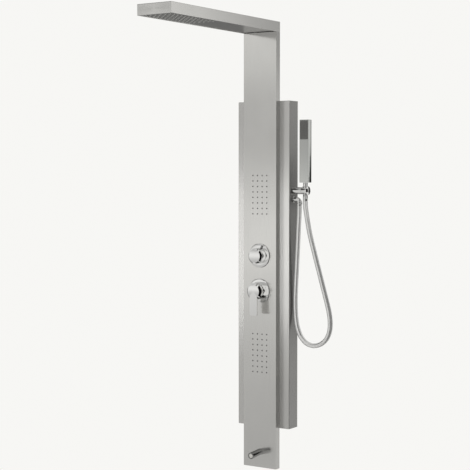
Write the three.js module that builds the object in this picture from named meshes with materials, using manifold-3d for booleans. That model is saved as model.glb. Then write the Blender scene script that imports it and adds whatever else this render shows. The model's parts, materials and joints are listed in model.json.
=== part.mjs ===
// Rainfall shower column: a wall-hung steel column with a fixed rain head, two fields of body jets,
// a five-way diverter, a single-lever mixer, a spout and a hand shower on a free hose.
// Millimetres, +Z up, +Y towards the wall. The origin is the middle of the upper bracket's wall face.
import * as THREE from 'three';
import { mergeVertices } from 'three/addons/utils/BufferGeometryUtils.js';
import Module from 'manifold-3d';

const wasm = await Module();
wasm.setup();

// ---------------------------------------------------------------- driving dimensions
// Heights are measured from the column's lower end, and "out" from the column's front face.
const GAP = 0.3; // clearance between pieces that touch
const SHEET = 1.5; // steel sheet
const COLUMN = { width: 120.4, depth: 22, height: 1400 };
const HOUSING = { width: 190.6, depth: 49.5, bottom: 127, top: 1155 };
const HEAD = { length: 563, height: 32 };
const BRACKET = { upper: 1080, lower: 200, width: 150, screws: 110, screwRadius: 3 };
const CLIP = { upper: 1142, lower: 139, half: 10 };
const JETS = { columns: 4, rows: 8, pitch: 17.2, upperTop: 922.6, lowerTop: 423.4, radius: 1.9 };
const RAIN = { columns: 6, rows: 13, pitch: 17.2, frontMargin: 18.5, radius: 2.6, drop: 3 };
const DIVERTER = { height: 671, radius: 24.9, length: 31.9, chamfer: 3.5, pointerAngle: 20 };
const MIXER = { height: 560.5, radius: 26.9, length: 38, chamfer: 5.4, pivotOut: 2, ball: 33 };
const LEVER = { width: 27, start: 14, drop: 75.5, thickness: 5, corner: 6 };
const FLANGE_RADIUS = 38;
const SPOUT = { height: 49.5, radius: 10, bore: 7, length: 53, droop: 4.6 };
const HOLDER = {
  height: 875.4,
  radius: 11,
  depth: -29,
  bore: 8,
  split: 130,
  end: 150,
  capRadius: 13.8,
  tail: 5,
};
const HAND = { x: 140.8, width: 32.6, depth: 19.6, bottom: 900.5, top: 1095 };
const HAND_FIELD = { width: 28, bottom: 1034.7, top: 1092.6, columns: 4, rows: 7, pitch: 7 };
const OUTLET = { x: 119, height: 847.6, radius: 9, drop: 9.6, tail: 6, bore: 4 };
const PIPE = { outer: 6, inner: 4.6 };
const HOSE_RADIUS = 7.5;
// The hose's route in the plane that holds both its ends: [sideways, height].
const HOSE_ROUTE = [
  [119, 828], [118.4, 800], [116.2, 765], [113.5, 708], [110.2, 646], [106.7, 584], [104.9, 525],
  [107, 480], [113.4, 446], [126.5, 418], [146.5, 400], [170, 394], [194.5, 399.5], [215, 415],
  [227.5, 439], [230.5, 468], [227, 498], [219.5, 528], [210.5, 558], [192.8, 618], [174.8, 679],
  [157.5, 740], [147.6, 788], [142.4, 817], [140.9, 832], [140.8, 842.5],
];

const HALF = COLUMN.width / 2;
const REAR_Y = -HOUSING.depth;
const FACE_Y = REAR_Y - COLUMN.depth;
const HEAD_Z = COLUMN.height - HEAD.height;
const HEAD_FRONT_Y = REAR_Y - HEAD.length;
const PANEL_BACK = FACE_Y + SHEET + GAP; // the nearest that anything may lie behind the front sheet
const VALVE_Y = -46; // the pipes leave both valve bodies in this plane
const CHANNEL_Y = -60.5; // where a pipe runs inside the column's own depth
const PORT_X = 22; // side ports of the diverter
const OUTLET_TAIL_START = 80; // the outlet elbow's inner end, where its pipe meets it
const CUT = 2; // how far a cutting tool stands past the face that it opens

// ---------------------------------------------------------------- materials
const steel = new THREE.MeshStandardMaterial({ color: 0xc9c8c4, roughness: 0.38, metalness: 1 });
const innerSteel = new THREE.MeshStandardMaterial({ color: 0xa5a5a2, roughness: 0.5, metalness: 1 });
const chrome = new THREE.MeshStandardMaterial({ color: 0xe4e4e3, roughness: 0.06, metalness: 1 });
const brass = new THREE.MeshStandardMaterial({ color: 0xb5924c, roughness: 0.4, metalness: 1 });
const hoseSilver = new THREE.MeshStandardMaterial({ color: 0xcfcfcd, roughness: 0.25, metalness: 0.9 });
const greySilicone = new THREE.MeshStandardMaterial({ color: 0xa8a8a5, roughness: 0.6, metalness: 0 });
const darkSilicone = new THREE.MeshStandardMaterial({ color: 0x4c4b48, roughness: 0.6, metalness: 0 });
const plastic = new THREE.MeshStandardMaterial({ color: 0xd8d6cf, roughness: 0.55, metalness: 0 });

// ---------------------------------------------------------------- solids
function welded(geometry) {
  geometry.deleteAttribute('normal');
  geometry.deleteAttribute('uv');
  const merged = mergeVertices(geometry, 1e-4);
  const corners = Array.from(merged.index.array);
  const kept = [];
  for (let i = 0; i < corners.length; i += 3) {
    const [a, b, c] = corners.slice(i, i + 3);
    if (a !== b && b !== c && c !== a) kept.push(a, b, c);
  }
  merged.setIndex(kept);
  return merged;
}

function solid(geometry) {
  const closed = welded(geometry);
  return new wasm.Manifold(
    new wasm.Mesh({
      numProp: 3,
      vertProperties: closed.attributes.position.array,
      triVerts: new Uint32Array(closed.index.array),
    }),
  );
}

function geometryOf(body) {
  const mesh = body.getMesh();
  const geometry = new THREE.BufferGeometry();
  geometry.setAttribute('position', new THREE.BufferAttribute(mesh.vertProperties, 3));
  geometry.setIndex(new THREE.BufferAttribute(mesh.triVerts, 1));
  return geometry;
}

const join = (...shapes) => geometryOf(shapes.map(solid).reduce((a, b) => a.add(b)));
const cut = (shape, tools) =>
  geometryOf(tools.map(solid).reduce((a, b) => a.subtract(b), solid(shape)));

const block = ([x0, x1], [y0, y1], [z0, z1]) =>
  new THREE.BoxGeometry(x1 - x0, y1 - y0, z1 - z0).translate(
    (x0 + x1) / 2,
    (y0 + y1) / 2,
    (z0 + z1) / 2,
  );

// A round bar, or a cone when the two radii differ, from one point to another.
function bar(from, to, radius, endRadius = radius, sides = 12) {
  const start = new THREE.Vector3(...from);
  const end = new THREE.Vector3(...to);
  const along = end.clone().sub(start);
  const turn = new THREE.Quaternion().setFromUnitVectors(
    new THREE.Vector3(0, 1, 0),
    along.clone().normalize(),
  );
  return new THREE.CylinderGeometry(endRadius, radius, along.length(), sides)
    .applyQuaternion(turn)
    .translate(...start.add(end).multiplyScalar(0.5).toArray());
}

// A profile of [radius, height] pairs turned about +Y; it starts and ends on the axis, or is a loop.
function turned(profile, sides = 20) {
  const points = profile.map(([radius, height]) => new THREE.Vector2(radius, height));
  if (THREE.ShapeUtils.area(points) < 0) points.reverse();
  if (points[0].x > 0) points.push(points[0].clone());
  return welded(new THREE.LatheGeometry(points, sides));
}

// The same with "out" for height, standing out of the column's face towards the user.
const turnedOut = (profile, sides) =>
  turned(profile.map(([radius, out]) => [radius, -out]), sides);

const turnedUp = (profile, sides) => turned(profile, sides).rotateX(Math.PI / 2);

function circle(radius, sides) {
  return Array.from({ length: sides }, (_, i) => {
    const angle = (2 * Math.PI * i) / sides;
    return new THREE.Vector2(radius * Math.cos(angle), radius * Math.sin(angle));
  });
}

function tube(points, { outer, inner = 0, steps, sides }) {
  const section = new THREE.Shape(circle(outer, sides));
  if (inner) section.holes.push(new THREE.Path(circle(inner, sides)));
  const extrudePath = new THREE.CatmullRomCurve3(points.map((p) => new THREE.Vector3(...p)));
  return new THREE.ExtrudeGeometry(section, { steps, bevelEnabled: false, extrudePath });
}

const pipe = (points, steps) => tube(points, { ...PIPE, steps, sides: 6 });

// A strip of the given [depth, height] outline, running from side to side.
function strip(outline, halfLength) {
  const shape = new THREE.Shape(outline.map(([y, z]) => new THREE.Vector2(y, z)));
  return new THREE.ExtrudeGeometry(shape, { depth: 2 * halfLength, bevelEnabled: false })
    .translate(0, 0, -halfLength)
    .applyMatrix4(new THREE.Matrix4().set(0, 0, 1, 0, 1, 0, 0, 0, 0, 1, 0, 0, 0, 0, 0, 1));
}

const spaced = (count, pitch, middle = 0) =>
  Array.from({ length: count }, (_, i) => middle + (i - (count - 1) / 2) * pitch);

const grid = (xs, others) => others.flatMap((v) => xs.map((x) => [x, v]));

const column = new THREE.Group();
column.position.z = -BRACKET.upper;

function piece(name, geometry, material, parent = column) {
  const mesh = new THREE.Mesh(geometry, material);
  mesh.name = name;
  parent.add(mesh);
  return mesh;
}

function controlGroup(height) {
  const group = new THREE.Group();
  group.position.set(0, FACE_Y, height);
  column.add(group);
  return group;
}

// ---------------------------------------------------------------- sheet metal body
const jetPlaces = (top) =>
  grid(
    spaced(JETS.columns, JETS.pitch),
    spaced(JETS.rows, JETS.pitch, top - ((JETS.rows - 1) * JETS.pitch) / 2),
  );
const UPPER_PLACES = jetPlaces(JETS.upperTop);
const LOWER_PLACES = jetPlaces(JETS.lowerTop);
const HOLES = { diverter: 10.8, mixer: 18.3, spout: 6.3, jet: 2.5, rain: 3.3 }; // radii
const NOZZLE_SIDES = 4;

function faceHole(radius, x, z, sides = 20) {
  return bar([x, FACE_Y - CUT, z], [x, FACE_Y + SHEET + CUT, z], radius, radius, sides);
}

function frontPanel() {
  const inner = HALF - SHEET;
  const body = block([-HALF, HALF], [FACE_Y, REAR_Y - GAP], [0, HEAD_Z - GAP]);
  return cut(body, [
    block([-inner, inner], [FACE_Y + SHEET, 0], [SHEET, HEAD_Z + SHEET]),
    faceHole(HOLES.diverter, 0, DIVERTER.height),
    faceHole(HOLES.mixer, 0, MIXER.height),
    faceHole(HOLES.spout, 0, SPOUT.height),
    ...[...UPPER_PLACES, ...LOWER_PLACES].map(([x, z]) => faceHole(HOLES.jet, x, z, NOZZLE_SIDES)),
  ]);
}

const WINDOW = { half: 48, bottom: 150, top: 1130 };

function rearHousing() {
  const side = HOUSING.width / 2;
  const inner = side - SHEET;
  const body = block([-side, side], [REAR_Y, 0], [HOUSING.bottom, HOUSING.top]);
  const sideHole = (radius, z) =>
    bar([inner - CUT, HOLDER.depth, z], [side + CUT, HOLDER.depth, z], radius);
  return cut(body, [
    block([-inner, inner], [REAR_Y + SHEET, CUT], [HOUSING.bottom + SHEET, HOUSING.top - SHEET]),
    block(
      [-WINDOW.half, WINDOW.half],
      [REAR_Y - CUT, REAR_Y + SHEET + CUT],
      [WINDOW.bottom, WINDOW.top],
    ),
    sideHole(HOLDER.tail + 0.4, HOLDER.height),
    sideHole(OUTLET.tail + 0.4, OUTLET.height),
  ]);
}

const coverWidth = HALF - SHEET - GAP;
const coverFrom = (z0, z1) =>
  block([-coverWidth, coverWidth], [REAR_Y - GAP - SHEET, REAR_Y - GAP], [z0, z1]);
const clipAt = (z) =>
  block([-coverWidth, coverWidth], [REAR_Y - 3.5, REAR_Y - GAP], [z - CLIP.half, z + CLIP.half]);

piece('front_panel', frontPanel(), steel);
piece('rear_housing', rearHousing(), steel);
piece('upper_back_cover', coverFrom(HOUSING.top + GAP, HEAD_Z - 2 * GAP), steel);
piece('lower_back_cover', coverFrom(SHEET + GAP, HOUSING.bottom - GAP), steel);
piece('upper_panel_clip', clipAt(CLIP.upper), innerSteel);
piece('lower_panel_clip', clipAt(CLIP.lower), innerSteel);

// ---------------------------------------------------------------- wall fixing
// The bracket's lip stands up and forward, and the housing's rail hooks down over it.
function wallBracket(z) {
  const outline = [[0, -22], [0, 22], [-8, 22], [-8, 36], [-11, 36], [-11, 19], [-3, 19], [-3, -22]];
  const { width, screws, screwRadius } = BRACKET;
  const screwHole = (x) =>
    bar([x, -3 - CUT, 0], [x, CUT, 0], screwRadius, screwRadius, 12);
  return cut(strip(outline, width / 2), [-screws / 2, screws / 2].map(screwHole)).translate(0, 0, z);
}

function hangerRail(z) {
  const outline = [
    [-11.3, 5], [-11.3, 36.3], [-7.7, 36.3], [-7.7, 26], [-4.7, 26], [-4.7, 39.3],
    [-14.3, 39.3], [-14.3, 5],
  ];
  return strip(outline, HOUSING.width / 2 - SHEET - GAP).translate(0, 0, z);
}

for (const level of ['upper', 'lower']) {
  piece(`${level}_wall_bracket`, wallBracket(BRACKET[level]), innerSteel);
  piece(`${level}_hanger_rail`, hangerRail(BRACKET[level]), innerSteel);
}

// ---------------------------------------------------------------- rain head
const PLATE_Z = HEAD_Z + SHEET; // underside of the spray plate, set up inside the shell's rim
const MAT = { bottom: PLATE_Z + SHEET + GAP, thickness: 2 };
const CHAMBER = { half: 52, front: -602, rear: -372, top: 1390, wall: 2 };
const CLAMP = { half: 9, front: -550, rear: -420 };
const PIPE_Z = 1381.5; // the feed pipe lies along the head at this height
const rainPlaces = grid(
  spaced(RAIN.columns, RAIN.pitch),
  Array.from({ length: RAIN.rows }, (_, i) => HEAD_FRONT_Y + RAIN.frontMargin + i * RAIN.pitch),
);

function headShell() {
  const inner = HALF - SHEET;
  return cut(block([-HALF, HALF], [HEAD_FRONT_Y, REAR_Y], [HEAD_Z, COLUMN.height]), [
    block(
      [-inner, inner],
      [HEAD_FRONT_Y + SHEET, REAR_Y - SHEET],
      [HEAD_Z - CUT, COLUMN.height - SHEET],
    ),
  ]);
}

function sprayPlate() {
  const inner = HALF - SHEET - GAP;
  const plate = block(
    [-inner, inner],
    [HEAD_FRONT_Y + SHEET + GAP, FACE_Y - GAP],
    [PLATE_Z, PLATE_Z + SHEET],
  );
  const hole = ([x, y]) =>
    bar([x, y, PLATE_Z - CUT], [x, y, PLATE_Z + SHEET + CUT], HOLES.rain, HOLES.rain, NOZZLE_SIDES);
  return cut(plate, rainPlaces.map(hole));
}

function rainMat() {
  const { half, front, rear } = CHAMBER;
  const sheet = block([-half, half], [front, rear], [MAT.bottom, MAT.bottom + MAT.thickness]);
  const [root, tip] = [MAT.bottom + MAT.thickness / 2, PLATE_Z - RAIN.drop];
  const nipple = ([x, y]) =>
    bar([x, y, root], [x, y, tip], RAIN.radius, 0.75 * RAIN.radius, NOZZLE_SIDES);
  return join(sheet, ...rainPlaces.map(nipple));
}

function waterChamber() {
  const { half, front, rear, top, wall } = CHAMBER;
  const bottom = MAT.bottom + MAT.thickness + GAP;
  return cut(block([-half, half], [front, rear], [bottom, top]), [
    block([wall - half, half - wall], [front + wall, rear - wall], [bottom - CUT, top - wall]),
    bar([-PORT_X, rear - wall - CUT, PIPE_Z], [-PORT_X, rear + CUT, PIPE_Z], PIPE.inner),
  ]);
}

const chamberClamp = (y) =>
  block(
    [-CHAMBER.half, CHAMBER.half],
    [y - CLAMP.half, y + CLAMP.half],
    [CHAMBER.top + GAP, COLUMN.height - SHEET - GAP],
  );

piece('head_shell', headShell(), steel);
piece('head_spray_plate', sprayPlate(), steel);
piece('head_nozzle_mat', rainMat(), greySilicone);
piece('head_water_chamber', waterChamber(), plastic);
piece('front_chamber_clamp', chamberClamp(CLAMP.front), innerSteel);
piece('rear_chamber_clamp', chamberClamp(CLAMP.rear), innerSteel);

// ---------------------------------------------------------------- body jets
const JET_MAT = { thickness: 1.8, stand: 0.6 };
const MANIFOLD = {
  half: 36,
  margin: 12,
  front: PANEL_BACK + JET_MAT.thickness + GAP,
  rear: -54,
  wall: 2,
};

function jetMat(places) {
  const { thickness, stand } = JET_MAT;
  const heights = places.map(([, z]) => z);
  const ends = [Math.min(...heights) - MANIFOLD.margin, Math.max(...heights) + MANIFOLD.margin];
  const sheet = block(
    [-MANIFOLD.half, MANIFOLD.half],
    [PANEL_BACK, PANEL_BACK + thickness],
    ends,
  );
  const [root, tip] = [PANEL_BACK + thickness / 2, FACE_Y - stand];
  const nozzle = ([x, z]) =>
    bar([x, root, z], [x, tip, z], JETS.radius, 0.8 * JETS.radius, NOZZLE_SIDES);
  return join(sheet, ...places.map(nozzle));
}

function jetManifold(top, inletX, inletAtTop) {
  const { half, margin, front, rear, wall } = MANIFOLD;
  const [low, high] = [top - (JETS.rows - 1) * JETS.pitch - margin, top + margin];
  const inlet = inletAtTop ? high : low;
  const reach = wall + CUT;
  return cut(block([-half, half], [front, rear], [low, high]), [
    block([wall - half, half - wall], [front - CUT, rear - wall], [low + wall, high - wall]),
    bar([inletX, CHANNEL_Y, inlet - reach], [inletX, CHANNEL_Y, inlet + reach], PIPE.inner),
  ]);
}

piece('upper_jet_nozzle_mat', jetMat(UPPER_PLACES), darkSilicone);
piece('lower_jet_nozzle_mat', jetMat(LOWER_PLACES), darkSilicone);
piece('upper_jet_manifold', jetManifold(JETS.upperTop, 0, false), plastic);
piece('lower_jet_manifold', jetManifold(JETS.lowerTop, -PORT_X, true), plastic);

// ---------------------------------------------------------------- diverter
const BODY = { front: -66, rear: -26, half: 36, diverterHalf: 18, mixerHalf: 22, boss: 6 };
const DISC = { radius: 14.5, rear: -41, neck: 9.8 }; // the diverter's cartridge

// A port's boss, and the bore that runs through it into the valve body.
const portBoss = (x, z, up) => bar([x, VALVE_Y, z - up * 3], [x, VALVE_Y, z + up * BODY.boss], 8);
const portBore = (x, z, up) =>
  bar([x, VALVE_Y, z - up * 5], [x, VALVE_Y, z + up * (BODY.boss + 2)], PIPE.inner);

// The pocket for a cartridge of the given radius, whose rear end lies so far out.
const cartridgeSocket = (radius, z, out) =>
  bar([0, BODY.front - CUT, z], [0, FACE_Y - out + 0.5, z], radius + GAP, radius + GAP, 20);

function diverterBody() {
  const [low, high] = [DIVERTER.height - BODY.diverterHalf, DIVERTER.height + BODY.diverterHalf];
  const ports = [
    [-PORT_X, low, -1], [0, low, -1], [PORT_X, low, -1],
    [-PORT_X, high, 1], [0, high, 1], [PORT_X, high, 1],
  ];
  const core = block([-BODY.half, BODY.half], [BODY.front, BODY.rear], [low, high]);
  return cut(join(core, ...ports.map((p) => portBoss(...p))), [
    cartridgeSocket(DISC.radius, DIVERTER.height, DISC.rear),
    ...ports.map((p) => portBore(...p)),
  ]);
}

function diverterCartridge() {
  const { radius, rear, neck } = DISC;
  return turnedOut([
    [0, rear], [radius, rear], [radius, -5.5], [neck, -5.5], [neck, 3.4], [4.5, 3.4],
    [4.5, -20], [0, -20],
  ]);
}

// A flat dished cover plate round a control.
const escutcheon = (bore) =>
  turnedOut(
    [[bore, GAP], [FLANGE_RADIUS, GAP], [FLANGE_RADIUS, 2.4], [FLANGE_RADIUS - 1.6, 4], [bore, 4]],
    28,
  );

function diverterKnob() {
  const { radius, length, chamfer } = DIVERTER;
  return turnedOut(
    [
      [0, length], [radius - chamfer, length], [radius, length - chamfer], [radius, 4.6],
      [radius - 2, 4.6], [radius - 2, 26], [7, 26], [7, 8], [4.3, 8], [4.3, 26], [0, 26],
    ],
    24,
  );
}

function diverterPointer() {
  const lug = block([-2, 2], [-9, -4.7], [DIVERTER.radius + GAP, 34.5]);
  return lug.rotateY((DIVERTER.pointerAngle * Math.PI) / 180);
}

const diverter = controlGroup(DIVERTER.height);
piece('diverter_valve_body', diverterBody(), brass);
piece('diverter_cartridge', diverterCartridge(), plastic, diverter);
piece('diverter_escutcheon', escutcheon(DISC.neck + 0.4), chrome, diverter);
piece('diverter_stem', bar([0, 19.5, 0], [0, -25.7, 0], 4, 4, 12), brass, diverter);
piece('diverter_knob', diverterKnob(), chrome, diverter);
piece('diverter_pointer', diverterPointer(), chrome, diverter);

// ---------------------------------------------------------------- mixer
const CARTRIDGE = { radius: 17.5, rear: -42, floor: -8, rim: 8, bore: 13 };
const INLET = { x: 16, radius: 10.4, bore: 8.8, length: 23.5 };
const SLEEVE = { radius: 27, wall: 2.5, holeAngle: 31 };
const TILT_CLEARANCE = 0.5;

function mixerBody() {
  const [low, high] = [MIXER.height - BODY.mixerHalf, MIXER.height + BODY.mixerHalf];
  const core = block([-30, 30], [BODY.front, BODY.rear], [low, high]);
  const inlet = (x, radius, top) => bar([x, VALVE_Y, top], [x, VALVE_Y, low - INLET.length], radius);
  const inlets = [-INLET.x, INLET.x];
  const bores = inlets.map((x) =>
    bar([x, VALVE_Y, low - 2], [x, VALVE_Y, low - INLET.length - 2], INLET.bore),
  );
  return cut(join(core, portBoss(0, high, 1), ...inlets.map((x) => inlet(x, INLET.radius, low + 2))), [
    cartridgeSocket(CARTRIDGE.radius, MIXER.height, CARTRIDGE.rear),
    portBore(0, high, 1),
    ...bores,
  ]);
}

function inletFilter(x) {
  const end = MIXER.height - BODY.mixerHalf - INLET.length;
  return bar([x, VALVE_Y, end], [x, VALVE_Y, end + 2], INLET.bore - GAP);
}

function mixerCartridge() {
  const { radius, rear, floor, rim, bore } = CARTRIDGE;
  return turnedOut([[0, rear], [radius, rear], [radius, rim], [bore, rim], [bore, floor], [0, floor]]);
}

function cartridgeRotor() {
  const { bore, floor, rim } = CARTRIDGE;
  const radius = bore - GAP;
  return turnedOut([
    [0, floor + GAP], [radius, floor + GAP], [radius, rim - 1], [10, rim - 1], [10, -3.8], [0, -3.8],
  ]);
}

// An arc of the ball that the handle rides on, from one angle off its axis to another.
function ballArc(ball, fromAngle, toAngle, steps) {
  return Array.from({ length: steps + 1 }, (_, i) => {
    const angle = fromAngle + ((toAngle - fromAngle) * i) / steps;
    return [ball * Math.sin(angle), MIXER.pivotOut + ball * Math.cos(angle)];
  });
}

function mixerSleeve() {
  const { radius, wall, holeAngle } = SLEEVE;
  const outer = MIXER.ball - TILT_CLEARANCE;
  const inner = outer - wall;
  const hole = THREE.MathUtils.degToRad(holeAngle);
  const innerRadius = radius - wall;
  return turnedOut([
    [radius, 4 + GAP],
    ...ballArc(outer, Math.asin(radius / outer), hole, 3),
    ...ballArc(inner, hole, Math.asin(innerRadius / inner), 3),
    [innerRadius, 4 + GAP],
  ]);
}

// The cap's underside is hollowed to the ball, and the lever hangs from its front.
function mixerHandle() {
  const { radius, length, chamfer, ball } = MIXER;
  const cap = turnedOut([
    ...ballArc(ball, 0, Math.asin(radius / ball), 6),
    [radius, length - chamfer],
    [radius - chamfer, length],
    [0, length],
  ]);
  const { width, start, drop, thickness, corner } = LEVER;
  const half = width / 2;
  const outline = new THREE.Shape()
    .moveTo(-half, -start)
    .lineTo(-half, corner - drop)
    .absarc(corner - half, corner - drop, corner, Math.PI, 1.5 * Math.PI)
    .absarc(half - corner, corner - drop, corner, 1.5 * Math.PI, 2 * Math.PI)
    .lineTo(half, -start);
  const lever = new THREE.ExtrudeGeometry(outline, {
    depth: thickness,
    bevelEnabled: false,
    curveSegments: 5,
  });
  return join(cap, lever.rotateX(Math.PI / 2).translate(0, thickness - length, 0));
}

const mixer = controlGroup(MIXER.height);
const stemEnd = MIXER.pivotOut + MIXER.ball - 3 * GAP;
piece('mixer_valve_body', mixerBody(), brass);
piece('hot_inlet_filter', inletFilter(-INLET.x), innerSteel);
piece('cold_inlet_filter', inletFilter(INLET.x), innerSteel);
piece('mixer_cartridge', mixerCartridge(), plastic, mixer);
piece('mixer_escutcheon', escutcheon(CARTRIDGE.radius + GAP), chrome, mixer);
piece('mixer_sleeve', mixerSleeve(), chrome, mixer);
piece('mixer_cartridge_rotor', cartridgeRotor(), plastic, mixer);
piece('mixer_stem', bar([0, 0.5, 0], [0, -stemEnd, 0], 4, 4, 12), brass, mixer);
piece('mixer_handle', mixerHandle(), chrome, mixer);

// ---------------------------------------------------------------- spout
function spoutTube() {
  const { radius, bore, length, droop } = SPOUT;
  const tilt = THREE.MathUtils.degToRad(droop);
  const tubeBody = turnedOut([
    [bore, -6], [radius, -6], [radius, length - 1], [radius - 1, length], [bore, length],
  ]).rotateX(tilt);
  return cut(tubeBody, [block([-40, 40], [-GAP, 40], [-40, 40])]);
}

function spoutAerator() {
  const { bore, length, droop } = SPOUT;
  const disc = bar([0, 4 - length, 0], [0, 1.5 - length, 0], bore - GAP);
  return disc.rotateX(THREE.MathUtils.degToRad(droop));
}

// The block inside the column that carries the spout on its nipple and takes its pipe from above.
const SPOUT_BLOCK = { front: PANEL_BACK, rear: -52, top: 61.5, bottom: 38, bore: 3.6 };

function spoutElbow() {
  const { front, rear, top, bottom, bore } = SPOUT_BLOCK;
  const z = SPOUT.height;
  const end = FACE_Y - 10;
  const core = block([-10, 10], [front, rear], [bottom, top]);
  const nipple = bar([0, front + CUT, z], [0, end, z], 5.5);
  return cut(join(core, nipple), [
    bar([0, CHANNEL_Y + bore, z], [0, end - CUT, z], bore),
    bar([0, CHANNEL_Y, z], [0, CHANNEL_Y, top + CUT], bore),
  ]);
}

const spout = controlGroup(SPOUT.height);
piece('spout', spoutTube(), chrome, spout);
piece('spout_aerator', spoutAerator(), plastic, spout);
piece('spout_elbow', spoutElbow(), brass);

// ---------------------------------------------------------------- water pipes
const PORT_TOP = DIVERTER.height + BODY.diverterHalf + BODY.boss + GAP;
const PORT_BOTTOM = DIVERTER.height - BODY.diverterHalf - BODY.boss - GAP;
const MIXER_TOP = MIXER.height + BODY.mixerHalf + BODY.boss + GAP;
const UPPER_INLET = JETS.upperTop - (JETS.rows - 1) * JETS.pitch - MANIFOLD.margin - GAP;
const LOWER_INLET = JETS.lowerTop + MANIFOLD.margin + GAP;
const SPOUT_TOP = SPOUT_BLOCK.top + GAP;

// Each route starts and ends with a short stretch straight out of its port.
const PIPE_ROUTES = {
  mixer_to_diverter_pipe: { steps: 1, route: [[0, VALVE_Y, MIXER_TOP], [0, VALVE_Y, PORT_BOTTOM]] },
  head_feed_pipe: {
    steps: 32,
    route: [
      [-PORT_X, VALVE_Y, PORT_TOP], [-PORT_X, VALVE_Y, 800], [-PORT_X, VALVE_Y, 920],
      [-PORT_X, -47, 990], [-PORT_X, -53, 1040], [-PORT_X, CHANNEL_Y, 1100],
      [-PORT_X, CHANNEL_Y, 1200], [-PORT_X, CHANNEL_Y, 1340], [-PORT_X, -60, 1364],
      [-PORT_X, -66, 1378], [-PORT_X, -84, PIPE_Z], [-PORT_X, -180, PIPE_Z],
      [-PORT_X, -280, PIPE_Z], [-PORT_X, CHAMBER.rear + GAP, PIPE_Z],
    ],
  },
  upper_jet_feed_pipe: {
    steps: 10,
    route: [
      [0, VALVE_Y, PORT_TOP], [0, VALVE_Y, PORT_TOP + 10], [0, -51, 738],
      [0, CHANNEL_Y, UPPER_INLET - 14], [0, CHANNEL_Y, UPPER_INLET],
    ],
  },
  hand_shower_feed_pipe: {
    steps: 14,
    route: [
      [PORT_X, VALVE_Y, PORT_TOP], [PORT_X, VALVE_Y, PORT_TOP + 12], [23, -42, 760],
      [30, -33, 815], [48, HOLDER.depth, 843], [66, HOLDER.depth, OUTLET.height],
      [OUTLET_TAIL_START - GAP, HOLDER.depth, OUTLET.height],
    ],
  },
  lower_jet_feed_pipe: {
    steps: 14,
    route: [
      [-PORT_X, VALVE_Y, PORT_BOTTOM], [-PORT_X, VALVE_Y, PORT_BOTTOM - 8], [-42, -38, 606],
      [-46, -32, 560], [-40, -38, 500], [-24, -58, 462], [-PORT_X, CHANNEL_Y, LOWER_INLET + 10],
      [-PORT_X, CHANNEL_Y, LOWER_INLET],
    ],
  },
  spout_feed_pipe: {
    steps: 24,
    route: [
      [PORT_X, VALVE_Y, PORT_BOTTOM], [PORT_X, VALVE_Y, PORT_BOTTOM - 8], [42, -38, 606],
      [46, -32, 560], [46, -32, 480], [46, -32, 380], [44, -34, 290], [30, -50, 225],
      [12, CHANNEL_Y, 170], [1, CHANNEL_Y, 100], [0, CHANNEL_Y, SPOUT_TOP + 10],
      [0, CHANNEL_Y, SPOUT_TOP],
    ],
  },
};
for (const [name, { route, steps }] of Object.entries(PIPE_ROUTES)) {
  piece(name, pipe(route, steps), innerSteel);
}

// ---------------------------------------------------------------- holder, outlet and hose
const SIDE_X = HOUSING.width / 2;
const NUT = { start: 88, radius: 9.5, clearance: 0.3 };
const TAIL_START = 82.3; // the holder bar's inner end, inside the housing
const onBar = (x) => [x, HOLDER.depth, HOLDER.height];

function holderBar() {
  const { radius, split, tail } = HOLDER;
  return join(
    bar(onBar(SIDE_X + GAP), onBar(split), radius, radius, 20),
    bar(onBar(TAIL_START), onBar(SIDE_X + CUT), tail),
  );
}

function holderSocket() {
  const { radius, split, end } = HOLDER;
  const body = bar(onBar(split + GAP), onBar(end), radius, radius, 20);
  const hole = [-20, 20].map((dz) => [HAND.x, HOLDER.depth, HOLDER.height + dz]);
  return cut(body, [bar(...hole, HOLDER.bore, HOLDER.bore, 20)]);
}

function holderCap() {
  const radius = HOLDER.capRadius;
  return turned([[0, 0], [radius - 0.6, 0], [radius, 0.6], [radius, 2], [radius - 1, 2.8], [0, 2.8]])
    .rotateZ(-Math.PI / 2)
    .translate(HOLDER.end + GAP, HOLDER.depth, HOLDER.height);
}

// A hexagon nut on a tail that comes in through the housing's side.
function tailNut(tail, z) {
  const { start, radius, clearance } = NUT;
  const at = (x) => [x, HOLDER.depth, z];
  return cut(bar(at(start), at(SIDE_X - SHEET - GAP), radius, radius, 6), [
    bar(at(start - CUT), at(SIDE_X), tail + clearance),
  ]);
}

function outletElbow() {
  const { x, height, radius, drop, tail, bore } = OUTLET;
  const at = (px, pz = height) => [px, HOLDER.depth, pz];
  const corner = new THREE.SphereGeometry(radius, 12, 8).translate(...at(x));
  return cut(
    join(
      bar(at(SIDE_X + GAP), at(x), radius),
      bar(at(x), at(x, height - drop), radius),
      corner,
      bar(at(OUTLET_TAIL_START), at(SIDE_X + CUT), tail),
    ),
    [bar(at(OUTLET_TAIL_START - CUT), at(x), bore), bar(at(x), at(x, height - drop - CUT), bore)],
  );
}

piece('holder_bar', holderBar(), chrome);
piece('holder_socket', holderSocket(), chrome);
piece('holder_end_cap', holderCap(), chrome);
piece('holder_bar_nut', tailNut(HOLDER.tail, HOLDER.height), brass);
piece('hose_outlet_elbow', outletElbow(), chrome);
piece('outlet_elbow_nut', tailNut(OUTLET.tail, OUTLET.height), brass);

const HOSE_NUT = { outlet: [8.9, 8.2], cone: [7.3, 7.7] }; // radii at the fitting and at the hose
const [, hoseStart] = HOSE_ROUTE[0];
const [, hoseEnd] = HOSE_ROUTE.at(-1);

// The nut between a fitting's end face and the hose's end, standing upright over the hose.
const hoseNut = (x, fitting, hose, radii) =>
  bar([x, HOLDER.depth, fitting - GAP], [x, HOLDER.depth, hose + GAP], ...radii);

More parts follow.
